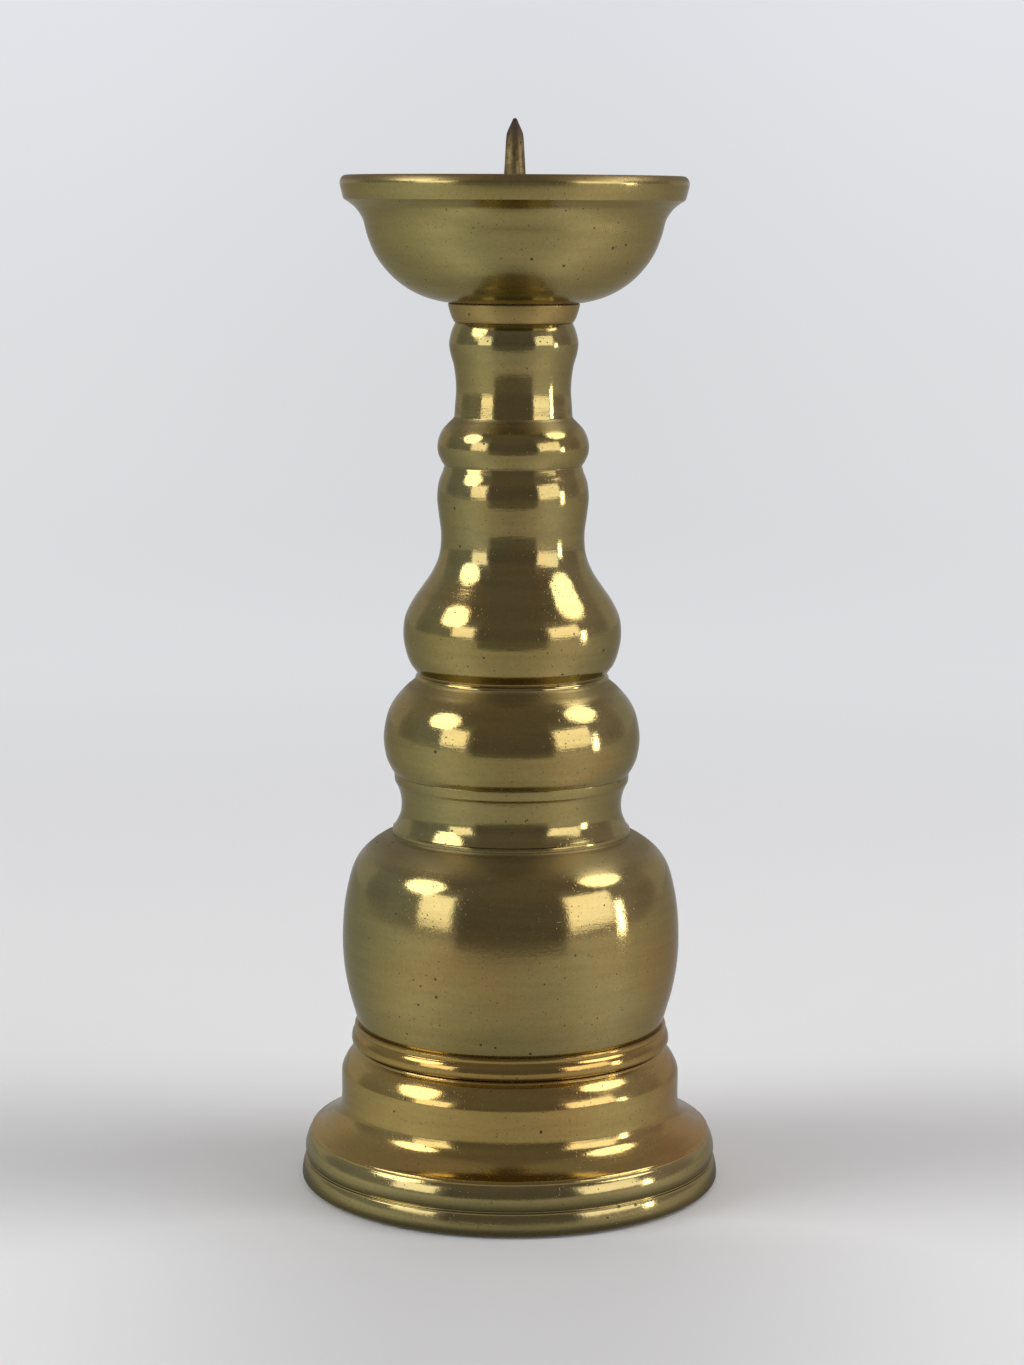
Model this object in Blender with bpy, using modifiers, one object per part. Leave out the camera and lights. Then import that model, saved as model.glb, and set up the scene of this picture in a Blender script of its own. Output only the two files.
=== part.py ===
"""Altar candlestick of turned brass sections, stacked on a steel rod.

Every size is in millimetres and becomes metres where a mesh is made. +Z is up,
and the origin is the middle of the ring that the foot stands on. The sections
stack from the foot upwards, each centred on the one below by a spigot, and the
nut under the foot draws the rod, and with it the whole stack, tight. The spike
screws into the top of the neck and clamps the dish.
"""

import math

import bmesh
import bpy
from mathutils import Matrix, Vector

MM = 0.001

# Fits that every joint shares.
SEAT_GAP = 0.3  # between two faces that rest on each other
SLIP = 0.3  # round a spigot, a shank or a rod in its hole

# Heights of the stacked sections, from the foot up, without their spigots.
FOOT_HEIGHT = 19.4
BEAD_RING_HEIGHT = 3.0
BELLY_HEIGHT = 27.2
WAIST_HEIGHT = 8.2
GLOBE_HEIGHT = 14.0
BALUSTER_HEIGHT = 28.8
NECK_HEIGHT = 19.4
COLLAR_HEIGHT = 2.4
DISH_HEIGHT = 17.4

# Widest radius of each section.
FOOT_RADIUS = 29.7
BEAD_RING_RADIUS = 22.65
BELLY_RADIUS = 23.9
WAIST_RADIUS = 17.3
GLOBE_RADIUS = 18.06
BALUSTER_RADIUS = 15.3
NECK_RADIUS = 10.57
COLLAR_RADIUS = 9.15
DISH_RADIUS = 24.1

# Features of the foot.
FOOT_SHOULDER_RADIUS = 24.0
FOOT_SHOULDER_ROLL = 2.3
FOOT_COVE = 4.3
FOOT_EDGE_HEIGHT = 8.7  # where the cove meets the edge of the foot
FOOT_GROOVE_HEIGHT = 4.1  # between the edge's two bands

# Walls and floors.
FOOT_WALL = 2.6
FOOT_WEB = 2.7
STANDING_RING_WIDTH = 2.2
BELLY_WALL = 2.6
BELLY_TOP = 3.0
GLOBE_WALL = 3.0
BALUSTER_WALL = 3.0
DISH_WALL = 1.4
DISH_FLOOR = 2.2
DISH_EDGE = 0.6
RIM_LAND = 1.1

# Spigots: each stands on a section and enters the one above.
FOOT_SPIGOT_RADIUS = 18.4
FOOT_SPIGOT_WALL = 2.4
WAIST_SPIGOT_WALL = 2.4
BELLY_SPIGOT_RADIUS = 12.4
WAIST_SPIGOT_RADIUS = 12.4
GLOBE_SPIGOT_RADIUS = 9.0
BALUSTER_SPIGOT_RADIUS = 6.5
NECK_SPIGOT_RADIUS = 6.0
SPIGOT_HEIGHT = 2.0

# Rod, nut and washers.
ROD_RADIUS = 3.0
ROD_CLEARANCE = 0.4
ROD_GRIP = 9.0  # length screwed into the neck
ROD_TAIL = 1.2  # length showing under the nut
ROD_CHAMFER = 0.5
NUT_ACROSS_FLATS = 10.0
NUT_HEIGHT = 5.0
NUT_CHAMFER = 0.6
WASHER_RADIUS = 9.0
WASHER_THICKNESS = 1.2
LOCK_WASHER_RADIUS = 5.2
LOCK_WASHER_THICKNESS = 1.5
LOCK_WASHER_SLIT = 0.8
LOCK_WASHER_SLANT = math.radians(25)

# Spike.
SPIKE_HEIGHT = 21.5  # above the top of its flange
SPIKE_ROOT_RADIUS = 2.45
SPIKE_SHOULDER_RADIUS = 1.17
SPIKE_POINT_HEIGHT = 2.1
SPIKE_TIP_RADIUS = 0.25
FLANGE_RADIUS = 5.0
FLANGE_THICKNESS = 1.2
FLANGE_EDGE = 0.3

# Thread of the spike: right-handed, 0.8 mm pitch.
THREAD_PITCH = 0.8
THREAD_TURNS = 6
THREAD_CORE_RADIUS = 1.95
THREAD_CREST_RADIUS = 2.4
THREAD_ROOT_WIDTH = 0.56
THREAD_CREST_WIDTH = 0.12
THREAD_PLAY = 0.08  # along the axis, on each flank
THREAD_RADIAL_PLAY = 0.15
THREAD_SINK = 0.1  # how far a ridge reaches into the metal that it grows from
THREAD_STEPS = 16  # facets in a turn

# Facets round a turned piece.
WIDE_STEPS = 36
SLIM_STEPS = 24
SMALL_STEPS = 16

# Heights where each section starts, all worked out from the stack.
BEAD_RING_BASE = FOOT_HEIGHT + SEAT_GAP
BELLY_BASE = BEAD_RING_BASE + BEAD_RING_HEIGHT + SEAT_GAP
WAIST_BASE = BELLY_BASE + BELLY_HEIGHT + SEAT_GAP
GLOBE_BASE = WAIST_BASE + WAIST_HEIGHT + SEAT_GAP
BALUSTER_BASE = GLOBE_BASE + GLOBE_HEIGHT + SEAT_GAP
NECK_BASE = BALUSTER_BASE + BALUSTER_HEIGHT + SEAT_GAP
COLLAR_BASE = NECK_BASE + NECK_HEIGHT + SEAT_GAP
DISH_BASE = COLLAR_BASE + COLLAR_HEIGHT + SEAT_GAP
FLANGE_BASE = DISH_BASE + DISH_FLOOR + SEAT_GAP
FLANGE_TOP = FLANGE_BASE + FLANGE_THICKNESS

SOCKET_DEPTH = SPIGOT_HEIGHT + 2 * SEAT_GAP
NECK_TOP = DISH_BASE - 2 * SEAT_GAP  # top of the spigot inside the collar
SHANK_END = NECK_TOP - THREAD_TURNS * THREAD_PITCH
ROD_HOLE = ROD_RADIUS + ROD_CLEARANCE
WEB_UNDERSIDE = FOOT_HEIGHT - FOOT_WEB
WASHER_BASE = WEB_UNDERSIDE - SEAT_GAP - WASHER_THICKNESS
LOCK_WASHER_BASE = WASHER_BASE - SEAT_GAP - LOCK_WASHER_THICKNESS
NUT_BASE = LOCK_WASHER_BASE - SEAT_GAP - NUT_HEIGHT


# Outlines: lists of (radius, height), drawn down the outer side and up the inside.

def flow(stations, steps=3):
    """A smooth curve through the stations, with this many pieces between each two."""
    ends = [2 * Vector(stations[0]) - Vector(stations[1])]
    ends += [Vector(station) for station in stations]
    ends += [2 * Vector(stations[-1]) - Vector(stations[-2])]
    points = []
    for before, start, end, after in zip(ends, ends[1:], ends[2:], ends[3:]):
        for step in range(steps):
            t = step / steps
            bend = (
                2 * start
                + (end - before) * t
                + (2 * before - 5 * start + 4 * end - after) * t**2
                + (3 * start - before - 3 * end + after) * t**3
            ) / 2
            points.append((bend.x, bend.y))
    return points + [tuple(stations[-1])]


def arc(centre, radius, start, end, steps=3):
    """Points of a round edge, with its angles in degrees from the +radius side."""
    angles = [math.radians(start + (end - start) * i / steps) for i in range(steps + 1)]
    return [
        (centre[0] + radius * math.cos(a), centre[1] + radius * math.sin(a))
        for a in angles
    ]


def placed(shares, radius, height, base):
    """Stations given as shares of a section's widest radius and its height."""
    return [(r * radius, base + h * height) for r, h in shares]


def foot_outline():
    top, edge, groove = FOOT_HEIGHT, FOOT_EDGE_HEIGHT, FOOT_GROOVE_HEIGHT
    shoulder, ring = FOOT_SHOULDER_RADIUS, FOOT_RADIUS
    roll = arc((shoulder - FOOT_SHOULDER_ROLL, top - FOOT_SHOULDER_ROLL), FOOT_SHOULDER_ROLL, 90, 0)
    cove = arc((shoulder + FOOT_COVE, edge + FOOT_COVE), FOOT_COVE, 180, 270, 4)
    upper_band = flow([(0.953 * ring, edge - 0.5), (0.985 * ring, (edge + groove) / 2 - 0.3),
                       (0.98 * ring, groove)], 2)
    lower_band = flow([(0.987 * ring, 0.9 * groove), (ring, 0.5 * groove), (0.98 * ring, 0.0)], 2)
    wall = shoulder - FOOT_WALL
    inside = [
        (0.98 * ring - STANDING_RING_WIDTH, 0.0),
        (ring - 2 * FOOT_WALL, groove),
        (shoulder + FOOT_COVE / 3 - FOOT_WALL, edge),
        (wall, edge + FOOT_COVE / 2),
        (wall, WEB_UNDERSIDE),
        (ROD_HOLE, WEB_UNDERSIDE),
    ]
    spigot_inside = FOOT_SPIGOT_RADIUS - FOOT_SPIGOT_WALL
    spigot_top = BELLY_BASE + SPIGOT_HEIGHT
    spigot = [
        (ROD_HOLE, top),
        (spigot_inside, top),
        (spigot_inside, spigot_top),
        (FOOT_SPIGOT_RADIUS, spigot_top),
        (FOOT_SPIGOT_RADIUS, top),
    ]
    return roll + cove + upper_band + lower_band + inside + spigot


def bead_ring_outline():
    base, top = BEAD_RING_BASE, BEAD_RING_BASE + BEAD_RING_HEIGHT
    hole = FOOT_SPIGOT_RADIUS + SLIP
    bead = flow(
        placed(((0.963, 1.0), (1.0, 0.5), (0.975, 0.0)), BEAD_RING_RADIUS, BEAD_RING_HEIGHT, base),
        3,
    )
    return bead + [(hole, base), (hole, top)]


def belly_outline():
    base, top = BELLY_BASE, BELLY_BASE + BELLY_HEIGHT
    outer = flow(
        placed(((0.732, 1.0), (0.84, 0.935), (0.93, 0.835), (0.985, 0.65), (1.0, 0.44),
                (0.982, 0.25), (0.912, 0.0)),
               BELLY_RADIUS, BELLY_HEIGHT, base),
        2,
    )
    wall = BELLY_RADIUS - BELLY_WALL
    inside = [
        (FOOT_SPIGOT_RADIUS + SLIP, base),
        (FOOT_SPIGOT_RADIUS + SLIP, base + SOCKET_DEPTH),
        (0.96 * wall, base + 0.25 * BELLY_HEIGHT),
        (wall, base + 0.5 * BELLY_HEIGHT),
        (0.95 * wall, base + 0.72 * BELLY_HEIGHT),
        (0.8 * wall, top - BELLY_TOP),
        (ROD_HOLE, top - BELLY_TOP),
    ]
    spigot = [
        (ROD_HOLE, top + SPIGOT_HEIGHT),
        (BELLY_SPIGOT_RADIUS, top + SPIGOT_HEIGHT),
        (BELLY_SPIGOT_RADIUS, top),
    ]
    return outer + inside + spigot


def waist_outline():
    base, top = WAIST_BASE, WAIST_BASE + WAIST_HEIGHT
    band = placed(((0.955, 1.0), (0.955, 0.885), (0.935, 0.85)), WAIST_RADIUS, WAIST_HEIGHT, base)
    cove = flow(
        placed(((0.923, 0.835), (0.898, 0.5), (0.962, 0.1)), WAIST_RADIUS, WAIST_HEIGHT, base),
        3,
    )
    lip = placed(((1.0, 0.07), (1.0, 0.0)), WAIST_RADIUS, WAIST_HEIGHT, base)
    hole = BELLY_SPIGOT_RADIUS + SLIP
    bore = WAIST_SPIGOT_RADIUS - WAIST_SPIGOT_WALL
    inside = [
        (hole, base),
        (hole, base + SOCKET_DEPTH),
        (bore, base + SOCKET_DEPTH),
        (bore, top + SPIGOT_HEIGHT),
        (WAIST_SPIGOT_RADIUS, top + SPIGOT_HEIGHT),
        (WAIST_SPIGOT_RADIUS, top),
    ]
    return band + cove + lip + inside


def globe_outline():
    base, top = GLOBE_BASE, GLOBE_BASE + GLOBE_HEIGHT
    fillet = placed(((0.745, 1.0), (0.745, 0.96)), GLOBE_RADIUS, GLOBE_HEIGHT, base)
    ball = flow(
        placed(((0.755, 0.95), (0.87, 0.82), (0.965, 0.63), (1.0, 0.36), (0.975, 0.15),
                (0.917, 0.0)),
               GLOBE_RADIUS, GLOBE_HEIGHT, base),
        2,
    )
    wall = GLOBE_RADIUS - GLOBE_WALL
    inside = [
        (WAIST_SPIGOT_RADIUS + SLIP, base),
        (WAIST_SPIGOT_RADIUS + SLIP, base + SOCKET_DEPTH),
        (0.98 * wall, base + 0.36 * GLOBE_HEIGHT),
        (0.9 * wall, base + 0.62 * GLOBE_HEIGHT),
        (0.6 * wall, top - GLOBE_WALL),
        (ROD_HOLE, top - GLOBE_WALL),
    ]
    spigot = [
        (ROD_HOLE, top + SPIGOT_HEIGHT),
        (GLOBE_SPIGOT_RADIUS, top + SPIGOT_HEIGHT),
        (GLOBE_SPIGOT_RADIUS, top),
    ]
    return fillet + ball + inside + spigot


def baluster_outline():
    base, top = BALUSTER_BASE, BALUSTER_BASE + BALUSTER_HEIGHT
    outer = flow(
        placed(((0.632, 1.0), (0.694, 0.845), (0.657, 0.665), (0.71, 0.515), (0.875, 0.37),
                (0.975, 0.27), (0.995, 0.14), (0.885, 0.0)),
               BALUSTER_RADIUS, BALUSTER_HEIGHT, base),
        2,
    )
    wall = BALUSTER_RADIUS - BALUSTER_WALL
    inside = [
        (GLOBE_SPIGOT_RADIUS + SLIP, base),
        (GLOBE_SPIGOT_RADIUS + SLIP, base + SOCKET_DEPTH),
        (0.95 * wall, base + 0.16 * BALUSTER_HEIGHT),
        (0.9 * wall, base + 0.3 * BALUSTER_HEIGHT),
        (0.5 * wall, base + 0.48 * BALUSTER_HEIGHT),
        (ROD_HOLE, base + 0.52 * BALUSTER_HEIGHT),
    ]
    spigot = [
        (ROD_HOLE, top + SPIGOT_HEIGHT),
        (BALUSTER_SPIGOT_RADIUS, top + SPIGOT_HEIGHT),
        (BALUSTER_SPIGOT_RADIUS, top),
    ]
    return outer + inside + spigot


def neck_outline():
    base, top = NECK_BASE, NECK_BASE + NECK_HEIGHT
    shaft = flow(
        placed(((0.775, 1.0), (0.848, 0.86), (0.785, 0.7), (0.758, 0.53), (0.78, 0.345)),
               NECK_RADIUS, NECK_HEIGHT, base),
        2,
    )
    knop = flow(
        placed(((0.82, 0.325), (0.96, 0.22), (1.0, 0.12), (0.91, 0.0)),
               NECK_RADIUS, NECK_HEIGHT, base),
        2,
    )
    socket = BALUSTER_SPIGOT_RADIUS + SLIP
    tap = THREAD_CORE_RADIUS + THREAD_RADIAL_PLAY
    rod_seat = ROD_RADIUS + SLIP
    rod_end = base + SOCKET_DEPTH + ROD_GRIP
    inside = [
        (socket, base),
        (socket, base + SOCKET_DEPTH),
        (rod_seat, base + SOCKET_DEPTH),
        (rod_seat, rod_end),
        (tap, rod_end),
        (tap, NECK_TOP),
        (NECK_SPIGOT_RADIUS, NECK_TOP),
        (NECK_SPIGOT_RADIUS, top),
    ]
    return shaft + knop + inside


def collar_outline():
    base, top = COLLAR_BASE, COLLAR_BASE + COLLAR_HEIGHT
    hole = NECK_SPIGOT_RADIUS + SLIP
    flare = placed(((0.985, 1.0), (1.0, 0.93), (0.955, 0.4), (0.9, 0.0)),
                   COLLAR_RADIUS, COLLAR_HEIGHT, base)
    return flare + [(hole, base), (hole, top)]


def dish_outline():
    base, top, rim = DISH_BASE, DISH_BASE + DISH_HEIGHT, DISH_RADIUS
    edge = (rim - DISH_EDGE, top - DISH_EDGE)
    band = [(edge[0] - RIM_LAND, top)] + arc(edge, DISH_EDGE, 90, 0)
    band += placed(((0.975, 0.808),), rim, DISH_HEIGHT, base)
    under = flow(
        placed(((0.955, 0.79), (0.875, 0.67), (0.845, 0.52), (0.79, 0.35), (0.65, 0.14),
                (0.4, 0.0)),
               rim, DISH_HEIGHT, base),
        2,
    )
    hole = THREAD_CREST_RADIUS + SLIP
    floor = base + DISH_FLOOR
    depth = DISH_HEIGHT - DISH_FLOOR
    cup = 0.845 * rim - DISH_WALL
    inside = flow(
        placed(((0.35, 0.0), (0.8, 0.12), (0.96, 0.38), (1.04, 0.68)), cup, depth, floor)
        + [(edge[0] - RIM_LAND - DISH_EDGE / 2, top - DISH_EDGE)],
        2,
    )
    return band + under + [(hole, base), (hole, floor)] + inside


def spike_outline():
    tip = FLANGE_TOP + SPIKE_HEIGHT
    shoulder = tip - SPIKE_POINT_HEIGHT
    edge = FLANGE_EDGE
    point = [(0.0, tip), (0.6 * SPIKE_TIP_RADIUS, tip - 0.1), (SPIKE_TIP_RADIUS, tip - 0.3)]
    root = SPIKE_ROOT_RADIUS
    body = [(SPIKE_SHOULDER_RADIUS, shoulder), (root, FLANGE_TOP + edge), (root + edge, FLANGE_TOP)]
    flange = [
        (FLANGE_RADIUS - edge, FLANGE_TOP),
        (FLANGE_RADIUS, FLANGE_TOP - edge),
        (FLANGE_RADIUS, FLANGE_BASE),
    ]
    core = THREAD_CORE_RADIUS
    shank = [(core, FLANGE_BASE), (core, SHANK_END + edge), (core - edge, SHANK_END), (0.0, SHANK_END)]
    return point + body + flange + shank


def rod_outline():
    top = NECK_BASE + SOCKET_DEPTH + ROD_GRIP - SEAT_GAP
    bottom = NUT_BASE - ROD_TAIL
    narrow = ROD_RADIUS - ROD_CHAMFER
    return [
        (0.0, top),
        (narrow, top),
        (ROD_RADIUS, top - ROD_CHAMFER),
        (ROD_RADIUS, bottom + ROD_CHAMFER),
        (narrow, bottom),
        (0.0, bottom),
    ]


def ring_outline(outer, hole, base, thickness):
    top = base + thickness
    return [(outer, top), (outer, base), (hole, base), (hole, top)]


# Objects.

def material(name, colour, roughness):
    made = bpy.data.materials.new(name)
    made.use_nodes = True
    shader = made.node_tree.nodes["Principled BSDF"]
    shader.inputs["Base Color"].default_value = (*colour, 1.0)
    shader.inputs["Roughness"].default_value = roughness
    shader.inputs["Metallic"].default_value = 1.0
    made.diffuse_color = (*colour, 1.0)
    return made


def add_object(name, mesh, finish, collection):
    piece = bpy.data.objects.new(name, mesh)
    piece.data.materials.append(finish)
    collection.objects.link(piece)
    return piece


def turned(name, outline, steps, finish, collection):
    """A piece turned on a lathe: its outline swept once round +Z. The loop is closed
    by its last edge, unless it starts on the axis."""
    on_axis = outline[0][0] == 0.0
    mesh = bpy.data.meshes.new(name)
    points = [(r * MM, 0.0, z * MM) for r, z in outline]
    edges = [(i, i + 1) for i in range(len(points) - 1)]
    if not on_axis:
        edges.append((len(points) - 1, 0))
    mesh.from_pydata(points, edges, [])
    piece = add_object(name, mesh, finish, collection)
    screw = piece.modifiers.new("lathe", "SCREW")
    screw.axis = "Z"
    screw.angle = math.tau
    screw.steps = screw.render_steps = steps
    screw.use_smooth_shade = True
    screw.use_merge_vertices = on_axis
    screw.merge_threshold = 1e-6
    return piece


def boolean(piece, operation, cutter):
    change = piece.modifiers.new(operation.lower(), "BOOLEAN")
    change.operation = operation
    change.object = cutter
    change.solver = "EXACT"


def helper(piece):
    """Marks a cutter or a shape that is only joined into another."""
    piece.hide_render = True
    piece.display_type = "WIRE"
    return piece


def thread_ridge(name, root, crest, play, start, turns, finish, collection):
    """One thread as a closed body: its section swept up a right-handed helix.
    The section's middle stands at the height start on the +X side."""
    narrowing = (THREAD_ROOT_WIDTH - THREAD_CREST_WIDTH) / 2 / (THREAD_CREST_RADIUS - THREAD_CORE_RADIUS)
    foot = root - THREAD_SINK
    foot_half = THREAD_ROOT_WIDTH / 2 + play + narrowing * (THREAD_CORE_RADIUS - foot)
    crest_half = THREAD_ROOT_WIDTH / 2 + play + narrowing * (THREAD_CORE_RADIUS - crest)
    shape = bmesh.new()
    corners = [(foot, -foot_half), (crest, -crest_half), (crest, crest_half), (foot, foot_half)]
    section = shape.faces.new(
        [shape.verts.new((r * MM, 0.0, (start + h) * MM)) for r, h in corners]
    )
    steps = turns * THREAD_STEPS
    bmesh.ops.spin(
        shape,
        geom=[section, *section.edges, *section.verts],
        cent=(0, 0, 0),
        axis=(0, 0, 1),
        dvec=(0, 0, THREAD_PITCH / THREAD_STEPS * MM),
        angle=turns * math.tau,
        steps=steps,
        use_duplicate=False,
    )
    bmesh.ops.recalc_face_normals(shape, faces=shape.faces)
    mesh = bpy.data.meshes.new(name)
    shape.to_mesh(mesh)
    shape.free()
    return helper(add_object(name, mesh, finish, collection))


def make_neck(brass, parts, cutters):
    """The neck, tapped from its top for the spike. The tap runs out past the top."""
    neck = turned("neck", neck_outline(), SLIM_STEPS, brass, parts)
    play = THREAD_RADIAL_PLAY
    tap = thread_ridge(
        "spike_tap", THREAD_CORE_RADIUS + play, THREAD_CREST_RADIUS + play, THREAD_PLAY,
        SHANK_END - THREAD_PITCH / 2, THREAD_TURNS + 2, brass, cutters,
    )
    boolean(neck, "DIFFERENCE", tap)
    return neck


def make_spike(dull_brass, parts, cutters):
    """The spike with its flange, and the thread that holds it in the neck."""
    spike = turned("candle_spike", spike_outline(), SMALL_STEPS, dull_brass, parts)
    ridge = thread_ridge(
        "spike_thread", THREAD_CORE_RADIUS, THREAD_CREST_RADIUS, 0.0,
        SHANK_END + THREAD_PITCH / 2, THREAD_TURNS, dull_brass, cutters,
    )
    boolean(spike, "UNION", ridge)
    return spike


def make_lock_washer(steel, parts, cutters):
    """A flattened spring washer: a ring with one slanted slit."""
    hole = ROD_RADIUS + SLIP
    outline = ring_outline(LOCK_WASHER_RADIUS, hole, LOCK_WASHER_BASE, LOCK_WASHER_THICKNESS)
    washer = turned("lock_washer", outline, SMALL_STEPS, steel, parts)
    shape = bmesh.new()
    bmesh.ops.create_cube(shape, size=1.0)
    size = (2 * LOCK_WASHER_RADIUS, LOCK_WASHER_SLIT, 3 * LOCK_WASHER_THICKNESS)
    place = Vector((LOCK_WASHER_RADIUS, 0, LOCK_WASHER_BASE + LOCK_WASHER_THICKNESS / 2))
    shape.transform(
        Matrix.Translation(place * MM)
        @ Matrix.Rotation(LOCK_WASHER_SLANT, 4, "X")
        @ Matrix.Diagonal((*(Vector(size) * MM), 1.0))
    )
    mesh = bpy.data.meshes.new("washer_slit")
    shape.to_mesh(mesh)
    shape.free()
    boolean(washer, "DIFFERENCE", helper(add_object("washer_slit", mesh, steel, cutters)))
    return washer


def make_nut(steel, parts, cutters):
    """A hexagon nut: a turned blank with chamfered corners, cut to six flats."""
    corner = NUT_ACROSS_FLATS / 2 / math.cos(math.pi / 6)
    top, chamfer = NUT_BASE + NUT_HEIGHT, NUT_CHAMFER
    hole = ROD_RADIUS + SLIP
    shape = bmesh.new()
    bmesh.ops.create_cone(
        shape, cap_ends=True, segments=6, radius1=corner * MM, radius2=corner * MM,
        depth=NUT_HEIGHT * MM,
        matrix=Matrix.Translation((0, 0, (NUT_BASE + NUT_HEIGHT / 2) * MM)),
    )
    mesh = bpy.data.meshes.new("clamp_nut")
    shape.to_mesh(mesh)
    shape.free()
    nut = add_object("clamp_nut", mesh, steel, parts)
    margin = 0.5
    blank = [
        (corner - chamfer - margin, top + margin / 2),
        (corner + margin, top - chamfer - margin / 2),
        (corner + margin, NUT_BASE + chamfer + margin / 2),
        (corner - chamfer - margin, NUT_BASE - margin / 2),
        (hole, NUT_BASE - margin / 2),
        (hole, top + margin / 2),
    ]
    boolean(nut, "INTERSECT", helper(turned("nut_blank", blank, SMALL_STEPS, steel, cutters)))
    return nut


def collection_named(name):
    made = bpy.data.collections.new(name)
    bpy.context.scene.collection.children.link(made)
    return made


def main():
    for old in list(bpy.data.objects):
        bpy.data.objects.remove(old)
    parts = collection_named("altar_candlestick")
    cutters = collection_named("cutters")
    brass = material("turned_brass", (0.56, 0.46, 0.20), 0.25)
    dull_brass = material("spike_brass", (0.36, 0.29, 0.15), 0.5)
    steel = material("zinc_steel", (0.52, 0.52, 0.50), 0.4)

    turned("foot", foot_outline(), WIDE_STEPS, brass, parts)
    turned("bead_ring", bead_ring_outline(), WIDE_STEPS, brass, parts)
    turned("belly", belly_outline(), WIDE_STEPS, brass, parts)
    turned("waist_ring", waist_outline(), WIDE_STEPS, brass, parts)
    turned("globe_knop", globe_outline(), WIDE_STEPS, brass, parts)
    turned("upper_baluster", baluster_outline(), WIDE_STEPS, brass, parts)
    make_neck(brass, parts, cutters)
    turned("seat_collar", collar_outline(), SLIM_STEPS, brass, parts)
    turned("drip_dish", dish_outline(), WIDE_STEPS, brass, parts)
    make_spike(dull_brass, parts, cutters)

    turned("tie_rod", rod_outline(), SMALL_STEPS, steel, parts)
    washer = ring_outline(WASHER_RADIUS, ROD_HOLE, WASHER_BASE, WASHER_THICKNESS)
    turned("clamp_washer", washer, SMALL_STEPS, steel, parts)
    make_lock_washer(steel, parts, cutters)
    make_nut(steel, parts, cutters)


main()
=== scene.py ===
"""The looks of the altar candlestick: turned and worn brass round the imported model."""

import math
from functools import reduce

import bmesh
import bpy
from mathutils import Matrix, Vector


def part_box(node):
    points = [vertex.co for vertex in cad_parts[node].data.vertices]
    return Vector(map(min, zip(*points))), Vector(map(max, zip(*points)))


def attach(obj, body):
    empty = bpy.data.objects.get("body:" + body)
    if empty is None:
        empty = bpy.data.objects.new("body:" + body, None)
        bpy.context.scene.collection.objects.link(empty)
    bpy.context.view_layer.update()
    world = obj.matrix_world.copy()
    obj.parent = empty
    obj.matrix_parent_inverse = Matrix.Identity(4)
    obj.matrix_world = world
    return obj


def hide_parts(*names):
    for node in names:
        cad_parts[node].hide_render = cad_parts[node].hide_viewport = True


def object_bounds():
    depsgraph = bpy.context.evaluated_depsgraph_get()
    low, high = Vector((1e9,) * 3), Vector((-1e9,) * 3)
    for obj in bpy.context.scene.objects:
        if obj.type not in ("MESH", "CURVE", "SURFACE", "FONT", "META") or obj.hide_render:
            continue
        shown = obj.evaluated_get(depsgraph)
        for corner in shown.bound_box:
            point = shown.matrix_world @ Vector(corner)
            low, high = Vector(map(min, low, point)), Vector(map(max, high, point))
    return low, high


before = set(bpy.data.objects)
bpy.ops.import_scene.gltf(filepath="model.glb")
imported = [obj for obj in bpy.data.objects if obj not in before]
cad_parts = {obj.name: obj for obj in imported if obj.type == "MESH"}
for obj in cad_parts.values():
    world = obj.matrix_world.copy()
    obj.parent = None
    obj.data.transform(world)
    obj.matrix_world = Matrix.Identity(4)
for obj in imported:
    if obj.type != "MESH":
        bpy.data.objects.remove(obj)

CAD_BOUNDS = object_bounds()
MM = 0.001

WIDE = 224  # facets round the large pieces
SLIM = 144  # facets round the small ones
EDGE = 0.07  # mm, the rounding that polish leaves on an edge
SHARP = 24  # degrees, the least turn at which an outline's corner is rounded


# ---------------------------------------------------------------- outlines
# An outline is a list of (radius, height) in millimetres. It runs down the
# outer side of a piece and back up its bore.

class Section:
    """A stacked piece: where it starts, where the piece above it starts, its widest radius."""

    def __init__(self, node, above=None):
        low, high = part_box(node)
        self.base = low.z / MM
        self.top = (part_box(above)[0].z if above else high.z) / MM
        self.radius = high.x / MM

    def at(self, *points):
        """Points given as radius and height above the foot of the piece."""
        return [(radius, self.base + height) for radius, height in points]

    def bored(self, outline, radius):
        """Closes the outline round a plain bore."""
        return outline + [(radius, self.base), (radius, self.top)]


def flow(stations, steps=7):
    """A smooth curve through the stations."""
    ends = [2 * Vector(stations[0]) - Vector(stations[1])]
    ends += [Vector(station) for station in stations]
    ends += [2 * Vector(stations[-1]) - Vector(stations[-2])]
    points = []
    for before, start, end, after in zip(ends, ends[1:], ends[2:], ends[3:]):
        for step in range(steps):
            t = step / steps
            bend = (
                2 * start
                + (end - before) * t
                + (2 * before - 5 * start + 4 * end - after) * t**2
                + (3 * start - before - 3 * end + after) * t**3
            ) / 2
            points.append((bend.x, bend.y))
    return points + [tuple(stations[-1])]


def arc(centre, radius, start, end, steps=10):
    """A round edge, its angles in degrees from the outward side."""
    angles = [math.radians(start + (end - start) * i / steps) for i in range(steps + 1)]
    return [
        (centre[0] + radius * math.cos(a), centre[1] + radius * math.sin(a)) for a in angles
    ]


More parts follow.
